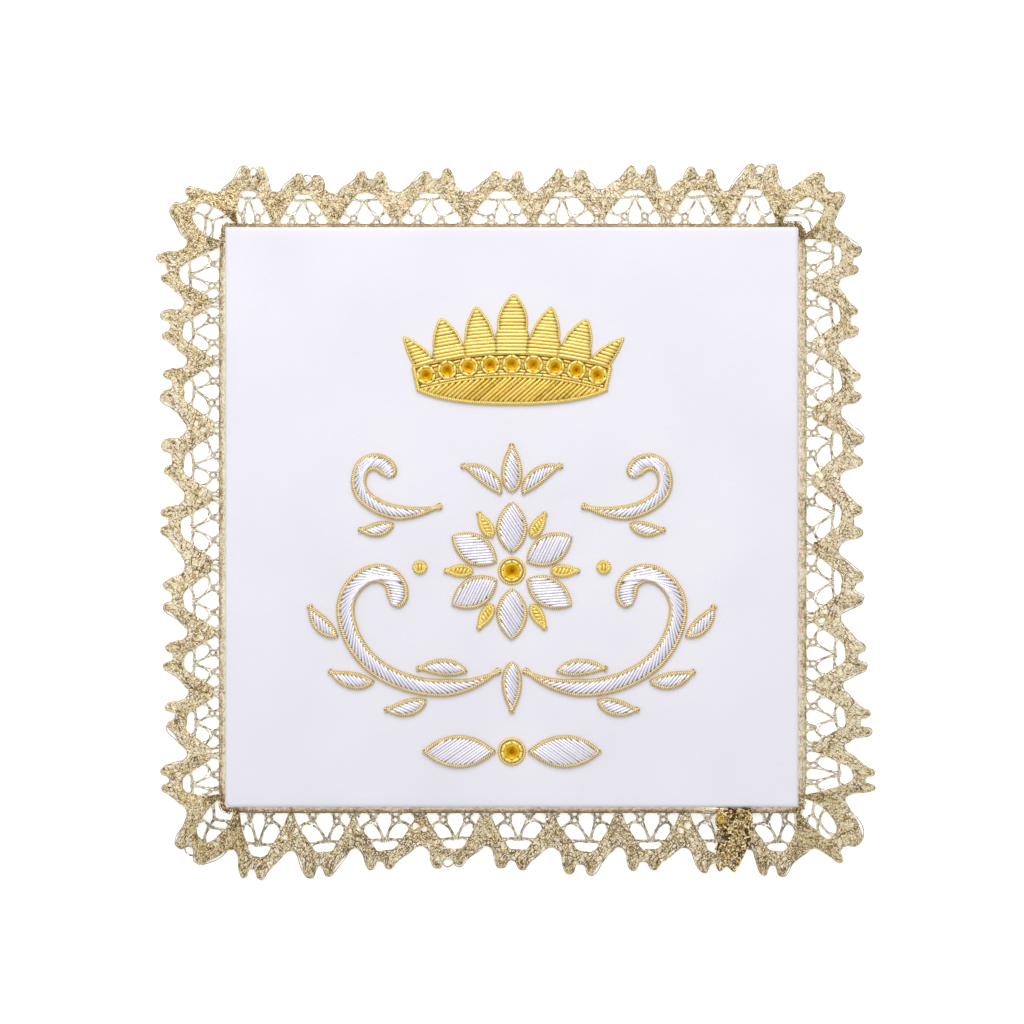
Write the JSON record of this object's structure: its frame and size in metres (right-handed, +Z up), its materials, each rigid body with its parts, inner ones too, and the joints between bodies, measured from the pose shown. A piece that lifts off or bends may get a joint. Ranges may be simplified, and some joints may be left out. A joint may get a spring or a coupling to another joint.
{
  "type": "chalice pall",
  "caption": "Stiff square altar-cloth panel in white satin with raised gold and silver floral embroidery, a crown, amber stones and a scalloped gold lace edging.",
  "frame": {"origin": "on the surface that the pall lies on, under the middle of the satin panel", "axes": "+Z up out of the embroidered face, +Y towards the crown, +X to the right as seen from above"},
  "size_m": [0.2003, 0.1995, 0.0064],
  "materials": {
    "satin_white": "satin",
    "lace_gold": "metallic thread",
    "purl_gold": "bright coiled wire",
    "purl_silver": "bright coiled wire",
    "stone_amber": "faceted and polished"
  },
  "bodies": {
    "root": {"bar_leaf_left": "purl_silver", "bar_leaf_right": "purl_silver", "bar_stone": "stone_amber", "crown_band": "purl_gold", "crown_base": "purl_gold", "crown_ray_left_1": "purl_gold", "crown_ray_left_2": "purl_gold", "crown_ray_left_3": "purl_gold", "crown_ray_middle": "purl_gold", "crown_ray_right_1": "purl_gold", "crown_ray_right_2": "purl_gold", "crown_ray_right_3": "purl_gold", "crown_stone_1": "stone_amber", "crown_stone_2": "stone_amber", "crown_stone_3": "stone_amber", "crown_stone_4": "stone_amber", "crown_stone_5": "stone_amber", "crown_stone_6": "stone_amber", "crown_stone_7": "stone_amber", "crown_stone_8": "stone_amber", "crown_stone_9": "stone_amber", "dot_left": "purl_gold", "dot_right": "purl_gold", "finial_middle": "purl_silver", "finial_side_left": "purl_silver", "finial_side_right": "purl_silver", "flower_stone": "stone_amber", "lace_edging": "lace_gold", "leaf_high_left": "purl_silver", "leaf_high_right": "purl_silver", "leaf_inner_left": "purl_silver", "leaf_inner_right": "purl_silver", "leaf_low_left": "purl_silver", "leaf_low_right": "purl_silver", "leaf_outer_left": "purl_silver", "leaf_outer_right": "purl_silver", "leaf_side_left": "purl_silver", "leaf_side_right": "purl_silver", "pall_panel": "satin_white", "pendant": "purl_silver", "petal_1": "purl_silver", "petal_2": "purl_silver", "petal_3": "purl_silver", "petal_4": "purl_silver", "petal_5": "purl_silver", "petal_6": "purl_silver", "petal_drop_1": "purl_gold", "petal_drop_2": "purl_gold", "petal_drop_3": "purl_gold", "petal_drop_4": "purl_gold", "petal_drop_5": "purl_gold", "petal_drop_6": "purl_gold", "scroll_high_left": "purl_silver", "scroll_high_right": "purl_silver", "scroll_low_left": "purl_silver", "scroll_low_right": "purl_silver"}
  },
  "joints": []
}
